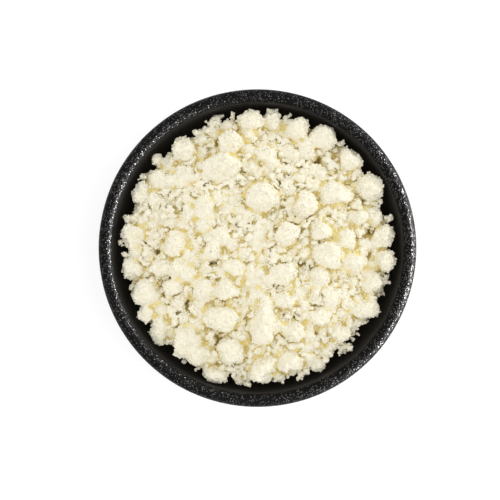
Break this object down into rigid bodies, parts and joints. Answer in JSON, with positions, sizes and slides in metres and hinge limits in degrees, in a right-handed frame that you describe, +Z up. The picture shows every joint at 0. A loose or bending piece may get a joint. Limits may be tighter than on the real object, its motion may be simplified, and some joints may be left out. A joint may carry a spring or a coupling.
{
  "type": "bowl of crumbled feta cheese",
  "caption": "Small round black stoneware bowl on a foot ring, filled and heaped with crumbled white feta cheese, for setting on a table or shelf.",
  "frame": {"origin": "middle of the bowl's foot, on the surface it stands on", "axes": "+Z up along the bowl's axis; +Y is the top of the picture and +X its right side"},
  "size_m": [0.13, 0.13, 0.055],
  "materials": {
    "black_stoneware": "coarse semi-matt black glaze, grained on the lip and outside",
    "feta_cheese": "moist, crumbly, creamy white"
  },
  "bodies": {
    "root": {"bowl": "black_stoneware", "feta_heap": "feta_cheese"}
  },
  "joints": []
}
